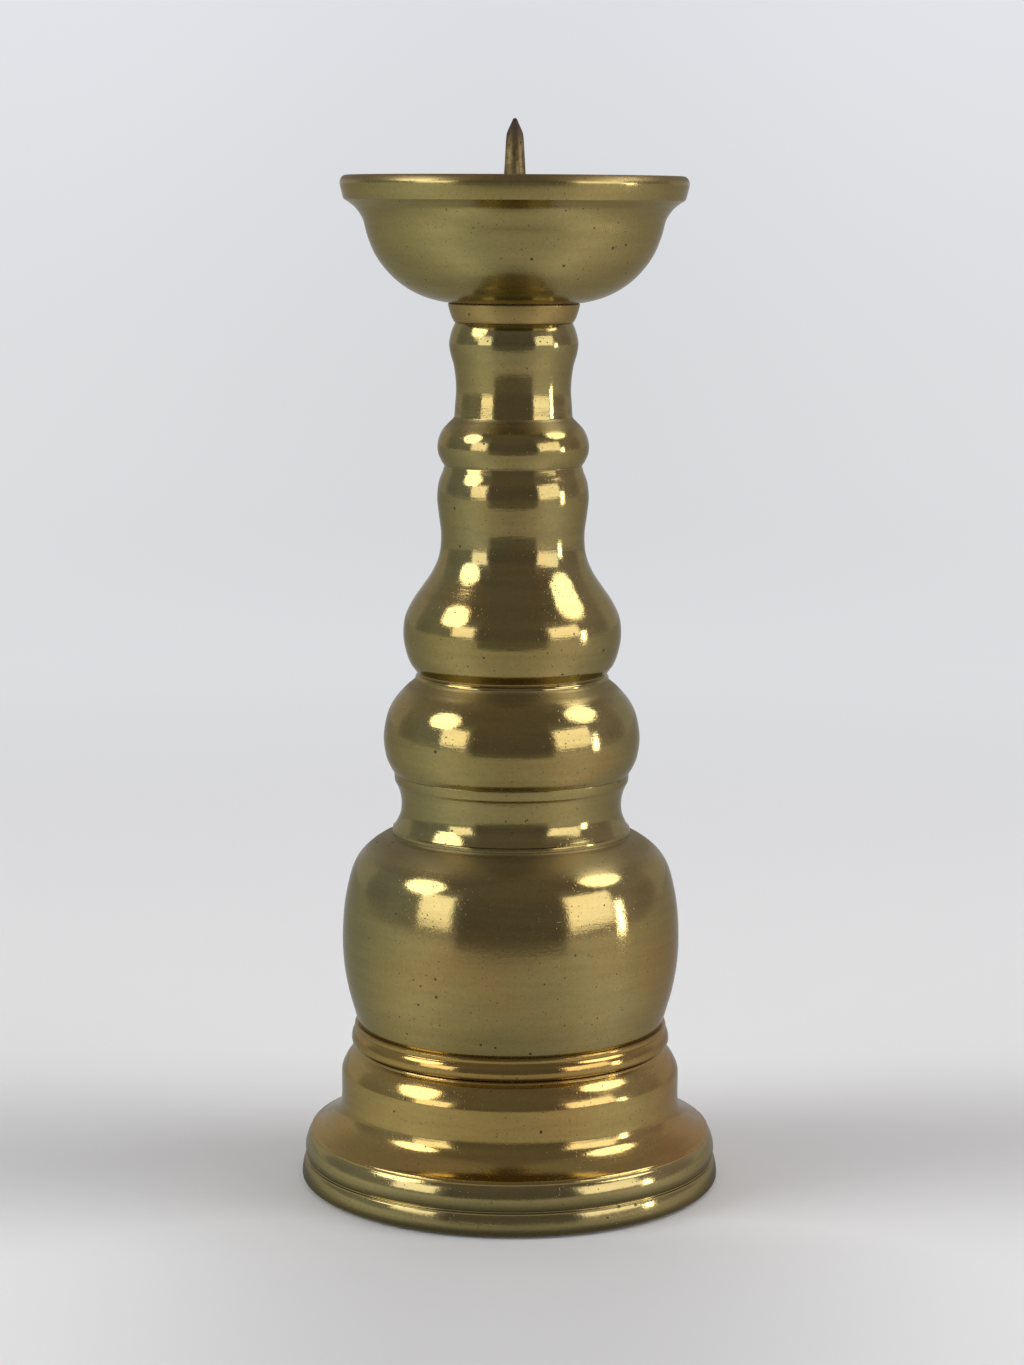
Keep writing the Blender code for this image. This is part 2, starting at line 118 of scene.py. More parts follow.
def eased(outline, closed=True):
    """The outline with its sharp corners rounded, and a point either side of each
    rounding, which keeps the shading of the flats beside it straight."""
    points = [Vector(p) for p in outline]
    points = [p for i, p in enumerate(points) if (p - points[i - 1]).length > 1e-4]
    made = []
    count = len(points)
    for i, point in enumerate(points):
        if not closed and i in (0, count - 1):
            made.append(point)
            continue
        before, after = points[i - 1] - point, points[(i + 1) % count] - point
        turn = math.pi - before.angle(after)
        if math.degrees(turn) < SHARP:
            made.append(point)
            continue
        reach = min(EDGE * math.tan(turn / 2), 0.35 * before.length, 0.35 * after.length)
        start, end = point + before.normalized() * reach, point + after.normalized() * reach
        made.append(start + before.normalized() * 0.3 * reach)
        for step in range(5):
            t = step / 4
            made.append(start * (1 - t) ** 2 + point * 2 * t * (1 - t) + end * t**2)
        made.append(end + after.normalized() * 0.3 * reach)
    return [(p.x, p.y) for p in made]


# ---------------------------------------------------------------- meshes

def spun(shape, outline, steps, closed=True):
    """Turns an outline into a solid in the bmesh, as a lathe does. It spins an eighth
    of the way, and then doubles what is there three times, which is much quicker."""
    verts = [shape.verts.new((r * MM, 0.0, z * MM)) for r, z in outline]
    edges = [shape.edges.new(pair) for pair in zip(verts, verts[1:])]
    if closed:
        edges.append(shape.edges.new((verts[-1], verts[0])))
    start = len(shape.verts) - len(verts)
    bmesh.ops.spin(
        shape, geom=verts + edges, cent=(0, 0, 0), axis=(0, 0, 1), dvec=(0, 0, 0),
        angle=math.tau / 8, steps=steps // 8, use_merge=False, use_duplicate=False,
    )
    for eighths in (1, 2, 4):
        shape.verts.ensure_lookup_table()
        wedge = set(shape.verts[start:])
        geom = [*wedge, *(e for e in shape.edges if e.verts[0] in wedge)]
        geom += [f for f in shape.faces if f.verts[0] in wedge]
        copy = bmesh.ops.duplicate(shape, geom=geom)["geom"]
        bmesh.ops.rotate(
            shape, verts=[v for v in copy if isinstance(v, bmesh.types.BMVert)],
            cent=(0, 0, 0), matrix=Matrix.Rotation(math.tau * eighths / 8, 3, "Z"),
        )


def made_object(name, shape, material):
    """Makes the bmesh a smooth object of this material."""
    mesh = bpy.data.meshes.new(name)
    shape.to_mesh(mesh)
    shape.free()
    mesh.materials.append(material)
    mesh.shade_smooth()
    made = bpy.data.objects.new(name, mesh)
    bpy.context.scene.collection.objects.link(made)
    return made


def finished(name, shape, body, replaced, material, sharp=40):
    """Makes the bmesh a piece that rides on its body and stands for its CAD node. Its
    edges that turn by more than sharp degrees stay crisp."""
    bmesh.ops.remove_doubles(shape, verts=shape.verts, dist=1e-7)
    bmesh.ops.recalc_face_normals(shape, faces=shape.faces)
    piece = made_object(name, shape, material)
    piece.data.set_sharp_from_angle(angle=math.radians(sharp))
    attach(piece, body)
    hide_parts(replaced)


def turned(name, outline, body, replaced, material, steps=WIDE):
    """A piece turned from its closed outline."""
    shape = bmesh.new()
    spun(shape, eased(outline), steps)
    finished(name, shape, body, replaced, material)


def helix(shape, root, crest, pitch, start, turns, per_turn=48, sink=0.15):
    """Adds one thread as a ridge that climbs right-handed from the height start."""
    half, tip = 0.42 * pitch, 0.06 * pitch
    corners = [
        (root - sink, start - half), (root, start - half), (crest, start - tip),
        (crest, start + tip), (root, start + half), (root - sink, start + half),
    ]
    face = shape.faces.new([shape.verts.new((r * MM, 0.0, z * MM)) for r, z in corners])
    bmesh.ops.spin(
        shape, geom=[face, *face.edges, *face.verts], cent=(0, 0, 0), axis=(0, 0, 1),
        dvec=(0, 0, pitch / per_turn * MM), angle=turns * math.tau,
        steps=round(turns * per_turn), use_duplicate=False,
    )


# ---------------------------------------------------------------- shader maths

class Value:
    """A socket in a node tree, on which Python's operators add Math nodes."""

    def __init__(self, tree, socket=None):
        self.tree = tree
        self.socket = socket

    def node(self, kind, settings=None, inputs=None, output=0):
        """Adds a node: its settings first, then the values or links of its sockets."""
        made = self.tree.nodes.new(kind)
        for key, setting in (settings or {}).items():
            setattr(made, key, setting)
        for key, value in (inputs or {}).items():
            if isinstance(value, Value):
                self.tree.links.new(value.socket, made.inputs[key])
            else:
                made.inputs[key].default_value = value
        return Value(self.tree, made.outputs[output])

    def maths(self, operation, *others):
        inputs = dict(enumerate((self, *others)))
        return self.node("ShaderNodeMath", {"operation": operation}, inputs)

    def __add__(self, other):
        return self.maths("ADD", other)

    __radd__ = __add__

    def __sub__(self, other):
        return self.maths("SUBTRACT", other)

    def __rsub__(self, other):
        return self.node("ShaderNodeMath", {"operation": "SUBTRACT"}, {0: other, 1: self})

    def __mul__(self, other):
        return self.maths("MULTIPLY", other)

    __rmul__ = __mul__

    def __truediv__(self, other):
        return self.maths("DIVIDE", other)

    def __pow__(self, other):
        return self.maths("POWER", other)

    def __abs__(self):
        return self.maths("ABSOLUTE")

    def least(self, other):
        return self.maths("MINIMUM", other)

    def most(self, other):
        return self.maths("MAXIMUM", other)

    def ramp(self, low, high):
        """0 below low, 1 above high, and smooth between; low may be the larger."""
        settings = {"interpolation_type": "SMOOTHSTEP"}
        inputs = {0: self, 1: low, 2: high, 3: 0.0, 4: 1.0}
        if low > high:
            inputs = {0: self, 1: high, 2: low, 3: 1.0, 4: 0.0}
        return self.node("ShaderNodeMapRange", settings, inputs)

    def curve(self, stops):
        """The value that the stops, (place, value) pairs from -1 to 1, give here."""
        made = self.node("ShaderNodeFloatCurve", inputs={"Value": self * 0.5 + 0.5})
        line = made.socket.node.mapping.curves[0]
        line.points[0].location, line.points[1].location = (
            (stops[0][0] / 2 + 0.5, stops[0][1]), (stops[-1][0] / 2 + 0.5, stops[-1][1]))
        for place, value in stops[1:-1]:
            line.points.new(place / 2 + 0.5, value)
        made.socket.node.mapping.update()
        return made

    def vector(self, y, z):
        """A vector of this and two more values."""
        return self.node("ShaderNodeCombineXYZ", inputs={0: self, 1: y, 2: z})

    def parts(self, kind="ShaderNodeSeparateXYZ"):
        """The three values that this vector or colour is made of."""
        made = self.node(kind, inputs={0: self})
        return [Value(self.tree, output) for output in made.socket.node.outputs]

    def scaled(self, by):
        """This colour times a value."""
        return self.node("ShaderNodeVectorMath", {"operation": "SCALE"}, {0: self, "Scale": by})

    def noise(self, scale, detail=2.0, roughness=0.5, distortion=0.0):
        """Noise at this place, with scale in features a metre."""
        inputs = {"Vector": self, "Scale": scale, "Detail": detail, "Roughness": roughness,
                  "Distortion": distortion}
        return self.node("ShaderNodeTexNoise", inputs=inputs)

    def mixed(self, start, end):
        """The colour start where this is 0, and end where it is 1."""
        settings = {"data_type": "RGBA"}
        return self.node("ShaderNodeMix", settings, {0: self, 6: start, 7: end}, output=2)

    def bump(self, distance):
        """A surface raised by this height times distance, in metres."""
        return self.node("ShaderNodeBump", inputs={"Height": self, "Distance": distance})


def colour(r, g, b):
    """An opaque colour, in linear light."""
    return (r, g, b, 1.0)


class Surface:
    """A material in the making: its place sockets, and its shader."""

    def __init__(self, name):
        self.material = bpy.data.materials.new(name)
        self.material.use_nodes = True
        self.tree = self.material.node_tree
        self.shader = self.tree.nodes["Principled BSDF"]
        self.place = Value(self.tree).node("ShaderNodeTexCoord", output="Object")
        self.x, self.y, self.z = self.place.parts()
        self.radius = (self.x * self.x + self.y * self.y) ** 0.5

    def feeds(self, **values):
        """Links values that vary to the shader, and sets the others on it."""
        for key, value in values.items():
            socket = self.shader.inputs[key.replace("_", " ").title().replace("Ior", "IOR")]
            if isinstance(value, Value):
                self.tree.links.new(value.socket, socket)
            else:
                socket.default_value = value
        return self.material

    def turning(self, spacing, wander, detail=2.0, roughness=0.5):
        """Marks that a lathe tool leaves. The noise is fine along the outline, where
        its features are a spacing apart in metres, and long round the piece, where
        wander is their number a metre."""
        at = (self.radius / spacing).vector(self.z / spacing, self.x * wander)
        inputs = {"Vector": at, "W": self.y * wander, "Scale": 1.0, "Detail": detail,
                  "Roughness": roughness}
        return self.place.node("ShaderNodeTexNoise", {"noise_dimensions": "4D"}, inputs)

    def pores(self, cell, smallest, largest, share):
        """Round casting pores: 1 in each, 0 outside. Cell is their spacing in metres,
        and the radii are shares of it. Share is how many cells have one."""
        inputs = {"Vector": self.place, "Scale": 1.0 / cell}
        spots = self.place.node("ShaderNodeTexVoronoi", inputs=inputs)
        cells = Value(self.tree, spots.socket.node.outputs["Color"])
        chance, width, _ = cells.parts("ShaderNodeSeparateColor")
        reach = width * (largest - smallest) + smallest
        inside = (1.0 - spots / reach) * 2.5
        kept = (share - chance).ramp(0.0, 0.01)
        return (inside * kept).most(0.0).least(1.0)

    def under(self, zones):
        """1 just below each height of the (height, width) zones, fading out over width."""
        found = []
        for height, width in zones:
            below = height - self.z
            found.append(below.ramp(width, width * 0.3) * below.ramp(-0.0002, 0.0))
        return reduce(Value.most, found)

    def near(self, heights, width):
        """1 at each of the heights, fading out over width. Metres."""
        return reduce(
            Value.most, [(1.0 - abs(self.z - height) / width).most(0.0) for height in heights])


# ---------------------------------------------------------------- finishes

JOINTS = [
    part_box(node)[0].z
    for node in ("bead_ring", "belly", "waist_ring", "globe_knop", "upper_baluster", "neck",
                 "seat_collar", "drip_dish")
]
# The height of each shoulder, and how far down under it the brass is dull, its colour
# darkened there as painted shade.
SHADED_SHOULDERS = [
    (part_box("waist_ring")[0].z, 0.0036),
    (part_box("upper_baluster")[0].z - 0.001, 0.0022),
    (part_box("neck")[0].z + 0.0066, 0.0022),
]
RIM_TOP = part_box("drip_dish")[1].z
FOOT_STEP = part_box("foot")[0].z + 0.0072

BLUSH = colour(0.43, 0.225, 0.075)  # coppery metal, low on the right
# The dark brown painted under the shoulders as shade.
SHADE_UNDER_SHOULDERS = colour(0.2, 0.155, 0.085)
RIM_BROWN = colour(0.20, 0.135, 0.072)
DIRT = colour(0.11, 0.07, 0.028)
PORE = colour(0.045, 0.028, 0.012)
GLANCE = colour(0.8, 0.77, 0.7)  # the tint of what brass mirrors at a low angle


def brass(name, tone, green, copper, rough, marks, grime=0.0, rim=False, low=None):
    """Old turned brass: patches of green-grey and copper tarnish, dark pores, marks of
    the tool, dirt in the joints, and dull metal under the shoulders, whose colour is
    darkened there as painted shade. Marks is the depth of the tool's marks in metres, and
    grime is how dirty the thick tarnish is. A rim is dull and brown along its top, and
    low is the tone below the foot's step."""
    made = Surface(name)
    broad = made.place.noise(38.0, 3.0, 0.55)
    patch = made.place.noise(90.0, 4.0, 0.6, 0.4)
    rings = made.turning(0.0012, 90.0, 4.0, 0.6)
    grain = made.place.noise(2300.0, 3.0, 0.65)
    thick = patch.ramp(0.46, 0.6) * 0.4 + 0.2
    pits = made.pores(0.0021, 0.06, 0.15, thick).most(made.pores(0.0009, 0.06, 0.18, thick))
    pits = pits.most(made.pores(0.00048, 0.12, 0.26, 0.35) * 0.6)
    shoulders = made.under(SHADED_SHOULDERS)
    dirt = (made.near(JOINTS, 0.0003) * 0.35 + patch.ramp(0.62, 0.8) * grime).least(1.0)

    base = broad.ramp(0.35, 0.68).mixed(tone, green)
    base = (made.place.noise(55.0, 2.0, 0.5, 0.3).ramp(0.56, 0.74) * 0.6).mixed(base, copper)
    blush = made.x.ramp(0.017, 0.024) * made.z.ramp(0.042, 0.034)
    base = (blush * 0.6).mixed(base, BLUSH)
    if low:
        base = made.z.ramp(FOOT_STEP + 0.0004, FOOT_STEP - 0.0004).mixed(base, low)
    shade = (rings - 0.5) * 0.4 + (grain - 0.5) * 0.35 + 1.0
    # Painted shade: under the shoulders the colour is darkened towards brown.
    base = (shoulders * 0.35).mixed(base.scaled(shade), SHADE_UNDER_SHOULDERS)
    dull = shoulders * 0.8
    if rim:
        top = made.z.ramp(RIM_TOP - 0.0011, RIM_TOP - 0.0004)
        dull = dull.most(top * (0.75 + (patch - 0.5) * 1.2))
        base = (top * 0.6).mixed(base, RIM_BROWN)
    base = (dirt * 0.6).mixed(base, DIRT)
    base = (pits * 0.9).mixed(base, PORE)

    roughness = (
        rough + (patch - 0.5) * 0.1 + (grain - 0.5) * 0.08 + dull * 0.45 + dirt * 0.15
        + pits * 0.3
    ).most(0.08).least(0.8)
    height = rings * marks + grain * 9e-6 - pits * 1.1e-5
    return made.feeds(
        base_color=base, roughness=roughness, metallic=1.0 - pits * 0.5 - dirt * 0.25,
        anisotropic=0.6, anisotropic_rotation=0.25, specular_tint=GLANCE,
        normal=height.bump(1.0),
    )


def spike_brass():
    """Dull, pitted brass of the spike, burnt towards its point."""
    made = Surface("spike_brass")
    point = CAD_BOUNDS[1][2]
    blotch = made.place.noise(900.0, 4.0, 0.65, 0.5)
    long_marks = (made.z * 160.0).vector(made.x * 1500.0, made.y * 1500.0).noise(1.0, 3.0, 0.6)
    pits = made.pores(0.0008, 0.12, 0.30, 0.5)
    burnt = (made.z + (blotch - 0.5) * 0.003).ramp(point - 0.0045, point - 0.0008)
    base = blotch.ramp(0.38, 0.66).mixed(colour(0.17, 0.125, 0.05), colour(0.30, 0.235, 0.11))
    base = (long_marks.ramp(0.52, 0.7) * 0.65).mixed(base, colour(0.10, 0.075, 0.03))
    base = (pits * 0.8).mixed(base, colour(0.05, 0.032, 0.014))
    base = (burnt * 0.85).mixed(base, colour(0.045, 0.028, 0.022))
    normal = (blotch + long_marks - pits).bump(2.2e-5)
    return made.feeds(
        base_color=base, roughness=0.42 + blotch * 0.2 + burnt * 0.2,
        metallic=1.0 - burnt * 0.5, normal=normal,
    )


def zinc_steel():
    """Zinc plated steel with a faint spangle and some white bloom."""
    made = Surface("zinc_steel")
    spangle = made.place.noise(700.0, 3.0, 0.6)
    bloom = made.place.noise(260.0, 4.0, 0.6, 0.4).ramp(0.52, 0.72)
    turned_marks = made.turning(0.0005, 150.0)
    base = spangle.ramp(0.35, 0.65).mixed(colour(0.36, 0.36, 0.35), colour(0.52, 0.52, 0.50))
    base = (bloom * 0.5).mixed(base, colour(0.62, 0.62, 0.60))
    return made.feeds(
        base_color=base, roughness=0.32 + bloom * 0.3 + turned_marks * 0.1,
        metallic=1.0 - bloom * 0.4, normal=(turned_marks + spangle).bump(3e-6),
    )


STEM_BRASS = brass(
    "stem_brass", colour(0.345, 0.258, 0.092), colour(0.295, 0.25, 0.105),
    colour(0.37, 0.24, 0.086), rough=0.115, marks=3e-5)
BELLY_BRASS = brass(
    "belly_brass", colour(0.35, 0.262, 0.096), colour(0.30, 0.258, 0.112),
    colour(0.37, 0.235, 0.085), rough=0.125, marks=1.4e-5)
COLLAR_BRASS = brass(
    "collar_brass", colour(0.375, 0.258, 0.094), colour(0.355, 0.25, 0.09),
    colour(0.40, 0.24, 0.085), rough=0.24, marks=2e-5)
BEAD_BRASS = brass(
    "bead_brass", colour(0.385, 0.252, 0.074), colour(0.345, 0.24, 0.08),
    colour(0.42, 0.24, 0.07), rough=0.12, marks=2e-5, grime=0.1)
FOOT_BRASS = brass(
    "foot_brass", colour(0.42, 0.288, 0.092), colour(0.37, 0.275, 0.098),
    colour(0.46, 0.28, 0.09), rough=0.13, marks=2e-5, grime=0.2,
    low=colour(0.335, 0.268, 0.112))
DISH_BRASS = brass(
    "dish_brass", colour(0.36, 0.275, 0.098), colour(0.335, 0.27, 0.105),
    colour(0.36, 0.245, 0.09), rough=0.19, marks=1.4e-5, grime=0.1, rim=True)
SPIKE_BRASS = spike_brass()
STEEL = zinc_steel()


# ---------------------------------------------------------------- the stand

FOOT = Section("foot", "bead_ring")
BEAD = Section("bead_ring", "belly")
BELLY = Section("belly", "waist_ring")
WAIST = Section("waist_ring", "globe_knop")
GLOBE = Section("globe_knop", "upper_baluster")
PEAR = Section("upper_baluster", "neck")
NECK = Section("neck", "seat_collar")
COLLAR = Section("seat_collar", "drip_dish")
DISH = Section("drip_dish")

ROD_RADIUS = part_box("tie_rod")[1].x / MM
BORE = ROD_RADIUS + 0.4
WEB_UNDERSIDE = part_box("clamp_washer")[1].z / MM


def foot():
    """The stepped foot: a rolled shoulder, an upright wall, a cove, and an edge of two
    bands with a fine step over each. It is hollow underneath."""
    edge = FOOT.at((21.6, 19.7), (21.82, 19.62), (21.92, 19.46), (21.94, 19.3))
    shoulder = flow(FOOT.at(
        (22.12, 19.12), (22.48, 18.81), (22.8, 18.47), (23.07, 18.15), (23.33, 17.75),
        (23.56, 17.35), (23.76, 16.95), (23.9, 16.6), (24.01, 16.2), (24.05, 15.6),
        (24.05, 14.6), (24.04, 13.2), (24.04, 12.3)), 6)
    cove = flow(FOOT.at(
        (24.1, 11.6), (24.27, 10.95), (24.58, 10.3), (25.05, 9.72), (25.7, 9.16),
        (26.45, 8.62), (27.2, 8.14), (27.85, 7.8), (28.22, 7.65),
        (28.42, 7.47), (28.5, 7.28), (28.51, 7.08)), 7)
    upper_band = flow(FOOT.at(
        (28.56, 7.0), (28.74, 6.76), (28.95, 6.3), (29.13, 5.75), (29.22, 5.25),
        (29.25, 4.7), (29.2, 4.15), (29.1, 3.75)), 5)
    lower_band = FOOT.at((29.02, 3.6), (29.04, 3.46), (29.29, 3.4), (29.31, 3.22))
    lower_band += flow(FOOT.at(
        (29.36, 3.14), (29.46, 2.86), (29.57, 2.4), (29.67, 1.8), (29.73, 1.2), (29.7, 0.8),
        (29.48, 0.48), (29.1, 0.26), (28.5, 0.11), (27.8, 0.03), (27.2, 0.0)), 5)
    wall = 21.4
    inside = [(26.6, 0.0)]
    inside += flow([(26.4, 1.2), (25.3, 4.0), (23.5, 7.0), (22.0, 10.2), (wall, 13.6)], 5)
    inside += arc((wall - 1.6, WEB_UNDERSIDE - 1.4), 1.6, 0, 90, 6)
    inside += [(BORE, WEB_UNDERSIDE + 0.2), (BORE, FOOT.top)]
    turned("stepped_foot", edge + shoulder + cove + upper_band + lower_band + inside,
           "stand", "foot", FOOT_BRASS)


def bead_ring():
    """The half-round ring under the belly, with a narrow fillet above it."""
    outline = BEAD.at((21.72, 3.3), (21.98, 3.27), (22.15, 3.12), (22.2, 2.86), (22.16, 2.62),
                      (22.06, 2.5))
    outline += flow(BEAD.at(
        (22.12, 2.42), (22.3, 2.2), (22.48, 1.85), (22.6, 1.38), (22.63, 1.0), (22.6, 0.74),
        (22.5, 0.5), (22.28, 0.3), (21.98, 0.14), (21.72, 0.05), (21.6, 0.0)), 6)
    turned("half_round_ring", BEAD.bored(outline, BORE), "stand", "bead_ring", BEAD_BRASS)


def belly():
    """The belly, which starts at the top with the lower half of the waist's fillet."""
    outline = BELLY.at((16.8, 27.5), (16.82, 27.22), (17.0, 27.14))
    outline += flow(BELLY.at(
        (17.3, 27.06), (17.8, 26.87), (18.86, 26.29), (20.24, 25.3), (21.56, 23.9),
        (22.49, 22.11), (23.21, 19.39), (23.71, 16.2), (23.9, 12.21), (23.71, 8.6),
        (23.09, 5.0), (22.08, 1.4), (21.62, 0.0)), 9)
    turned("belly_shell", BELLY.bored(outline, BORE), "stand", "belly", BELLY_BRASS)


def waist_ring():
    """A square fillet, a cove, and half of another fillet at its foot."""
    outline = WAIST.at((16.56, 8.5), (16.56, 8.2), (16.54, 7.8), (16.5, 7.34), (16.38, 7.12))
    outline += flow(WAIST.at(
        (16.2, 6.82), (15.92, 6.15), (15.71, 5.4), (15.58, 4.6), (15.54, 3.9), (15.58, 3.2),
        (15.72, 2.5), (15.98, 1.8), (16.3, 1.15), (16.48, 0.82)), 6)
    outline += WAIST.at((16.56, 0.66), (16.76, 0.57), (16.8, 0.35), (16.8, 0.0))
    turned("coved_waist_ring", WAIST.bored(outline, BORE), "stand", "waist_ring", STEM_BRASS)


def globe():
    """The flattened ball, with a fine fillet standing in the groove over it."""
    outline = GLOBE.at((13.42, 14.3), (13.38, 14.12), (13.28, 13.97), (13.44, 13.86),
                       (13.57, 13.68), (13.62, 13.46), (13.6, 13.28), (13.68, 13.12))
    outline += flow(GLOBE.at(
        (13.85, 12.97), (14.35, 12.56), (15.04, 11.96), (16.49, 10.3), (17.54, 8.19),
        (18.06, 5.2), (17.79, 2.6), (17.23, 1.1), (16.58, 0.0)), 9)
    turned("globe", GLOBE.bored(outline, BORE), "stand", "globe_knop", STEM_BRASS)


def baluster():
    """The pear, whose long throat swells again just under the neck."""
    outline = PEAR.at((9.64, 29.1), (9.6, 28.96), (9.66, 28.8))
    outline += flow(PEAR.at(
        (9.79, 28.3), (10.39, 26.6), (10.6, 24.4), (10.36, 22.1), (10.04, 19.3),
        (10.28, 16.5), (11.25, 14.1), (12.64, 12.0), (13.95, 10.1), (15.06, 7.7),
        (15.3, 5.1), (14.93, 2.9), (14.35, 1.3), (13.74, 0.42)), 8)
    outline += PEAR.at((13.52, 0.12), (13.45, 0.0))
    turned("pear_baluster", PEAR.bored(outline, BORE), "stand", "upper_baluster", STEM_BRASS,
           steps=SLIM)


def neck():
    """The spool, and the ring knop under it. Its spigot stands in the collar, and
    takes the spike's thread."""
    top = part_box("neck")[1].z / MM
    outline = NECK.at((8.12, 19.7), (8.2, 19.56))
    outline += flow(NECK.at(
        (8.27, 19.42), (8.42, 19.1), (8.61, 18.6), (8.84, 17.8), (8.98, 16.75), (8.79, 15.4),
        (8.34, 13.8), (8.08, 12.0), (8.0, 10.2), (8.12, 8.5), (8.2, 7.2), (8.23, 6.8)), 8)
    outline += flow(NECK.at(
        (8.3, 6.56), (8.46, 6.34), (8.89, 5.92), (9.82, 4.92), (10.35, 3.82), (10.57, 2.6),
        (10.45, 1.5), (9.98, 0.42)), 7)
    outline += NECK.at((9.76, 0.1), (9.7, 0.0))
    tapped = THREAD_CREST + 0.15
    outline += NECK.at((BORE, 0.0), (BORE, 11.0), (tapped, 12.0))
    outline += [(tapped, top), (SPIGOT_RADIUS, top), (SPIGOT_RADIUS, NECK.top)]
    turned("neck_spool", outline, "stand", "neck", STEM_BRASS, steps=SLIM)


def seat_collar():
    """The flared ring that the dish sits on."""
    outline = COLLAR.at((8.95, 2.7), (9.08, 2.66), (9.16, 2.5), (9.12, 2.3), (8.97, 1.7),
                        (8.82, 1.2), (8.6, 0.62), (8.34, 0.14), (8.2, 0.0))
    turned("flared_collar", COLLAR.bored(outline, SPIGOT_RADIUS + 0.1), "stand",
           "seat_collar", COLLAR_BRASS, steps=SLIM)


# ---------------------------------------------------------------- dish and spike

SPIGOT_RADIUS = 6.0
THREAD_CREST = 2.4
THREAD_CORE = 1.95
THREAD_PITCH = 0.8
FLANGE_BASE = DISH.base + 2.5
FLANGE_TOP = FLANGE_BASE + 1.2


def dish():
    """The drip dish: a banded rim with a rolled edge, a cove under it, and a deep bowl."""
    outline = DISH.at((22.3, 17.05), (22.75, 17.34))
    outline += flow(DISH.at((23.1, 17.4), (23.5, 17.33), (23.82, 17.08), (24.02, 16.68),
                            (24.09, 16.3), (24.05, 15.9)), 6)
    outline += DISH.at((23.63, 14.3), (23.5, 14.08), (23.3, 13.95))
    outline += flow(DISH.at(
        (22.85, 13.69), (21.83, 12.81), (20.92, 11.4), (20.32, 9.2), (19.35, 6.8), (18.0, 4.8),
        (16.36, 3.1), (14.46, 1.75), (12.4, 0.78), (10.3, 0.2), (8.9, 0.0)), 8)
    hole = THREAD_CREST + 0.3
    outline += DISH.at((hole, 0.0), (hole, 2.2))
    outline += flow(DISH.at(
        (6.6, 2.2), (11.5, 2.75), (15.2, 4.1), (17.4, 6.2), (18.5, 8.8), (19.2, 11.4),
        (20.3, 13.8), (21.7, 15.8), (22.2, 16.8)), 8)
    turned("deep_drip_dish", outline, "dish", "drip_dish", DISH_BRASS)


def spike():
    """The spike on its flange, with the thread that holds it in the neck. It was
    filed by hand, so its sides are not quite round."""
    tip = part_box("candle_spike")[1].z / MM
    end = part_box("candle_spike")[0].z / MM
    outline = [(0.0, tip)]
    outline += flow([(0.12, tip - 0.02), (0.27, tip - 0.12), (0.42, tip - 0.45),
                     (0.88, tip - 1.45), (1.12, tip - 2.05), (1.2, tip - 2.5)], 5)
    outline += flow([(1.24, tip - 3.0), (1.42, tip - 6.0), (1.72, tip - 11.0),
                     (2.1, tip - 17.0), (2.45, FLANGE_TOP + 0.5), (2.9, FLANGE_TOP)], 8)
    outline += [(4.7, FLANGE_TOP), (5.0, FLANGE_TOP - 0.3), (5.0, FLANGE_BASE),
                (THREAD_CORE, FLANGE_BASE), (THREAD_CORE, end + 0.4), (THREAD_CORE - 0.4, end),
                (0.0, end)]
    shape = bmesh.new()
    helix(shape, THREAD_CORE, THREAD_CREST, THREAD_PITCH, end + THREAD_PITCH / 2, 6)
    spun(shape, eased(outline, closed=False), 96, closed=False)
    for vert in shape.verts:
        height = vert.co.z / MM
        if height > FLANGE_TOP + 0.4:
            around = math.atan2(vert.co.y, vert.co.x)
            flats = 0.022 * math.cos(7 * around + 0.5 * height) + 0.03 * math.cos(2 * around + 1)
            vert.co.xy *= 1 - max(flats, 0.0)
    finished("screwed_spike", shape, "spike", "candle_spike", SPIKE_BRASS)


# ---------------------------------------------------------------- clamp hardware

def clamp_hardware():
    """The rod, its nut and the two washers, seen from underneath."""
    low, high = (corner.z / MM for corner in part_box("tie_rod"))
    core = ROD_RADIUS - 0.45
    shape = bmesh.new()
    helix(shape, core, ROD_RADIUS - 0.02, 1.0, low + 0.75, 16)
    rod = [(0.0, high), (core, high), (core, low + 0.3), (core - 0.4, low), (0.0, low)]
    spun(shape, eased(rod, closed=False), 64, closed=False)
    finished("threaded_rod", shape, "stand", "tie_rod", STEEL, 35)

    low, high = (corner.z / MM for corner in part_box("clamp_washer"))
    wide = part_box("clamp_washer")[1].x / MM
    turned("wide_washer", [(wide, high), (wide, low), (BORE, low), (BORE, high)],
           "stand", "clamp_washer", STEEL, SLIM)

    for node in ("clamp_nut", "lock_washer"):
        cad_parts[node].data.materials.clear()
        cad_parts[node].data.materials.append(STEEL)


foot()
bead_ring()
belly()
waist_ring()
globe()
baluster()
neck()
seat_collar()
dish()
spike()
clamp_hardware()


# ---------------------------------------------------------------- stage

PALE = colour(0.725, 0.732, 0.752)
PALE_HIGH = colour(0.775, 0.783, 0.823)
FLOOR_RADIUS = 1200  # mm, as are the bend and the height of the raised rim
RIM_BEND = 900
RIM_HEIGHT = 2600
MIRROR_RADIUS = 6000
MIRROR_HEIGHT = 0.02


def emission(made, tint, level):
    """A glowing surface of this colour, times the level."""
    return made.place.node("ShaderNodeEmission", inputs={"Color": tint.scaled(level)})


def surfaced(made, shader):
    """Ends the material with this shader."""
    made.tree.links.new(shader.socket, made.tree.nodes["Material Output"].inputs["Surface"])
    return made.material


def stage_object(name, shape, material):
    """Makes the bmesh a part of the stage."""
    made = made_object(name, shape, material)
    return made


def sheet(name, radius, height, material):
    """A round level sheet, its radius and height in millimetres."""
    shape = bmesh.new()
    bmesh.ops.create_circle(shape, cap_ends=True, segments=96, radius=radius * MM)
    bmesh.ops.translate(shape, verts=shape.verts, vec=(0, 0, height * MM))
    return stage_object(name, shape, material)


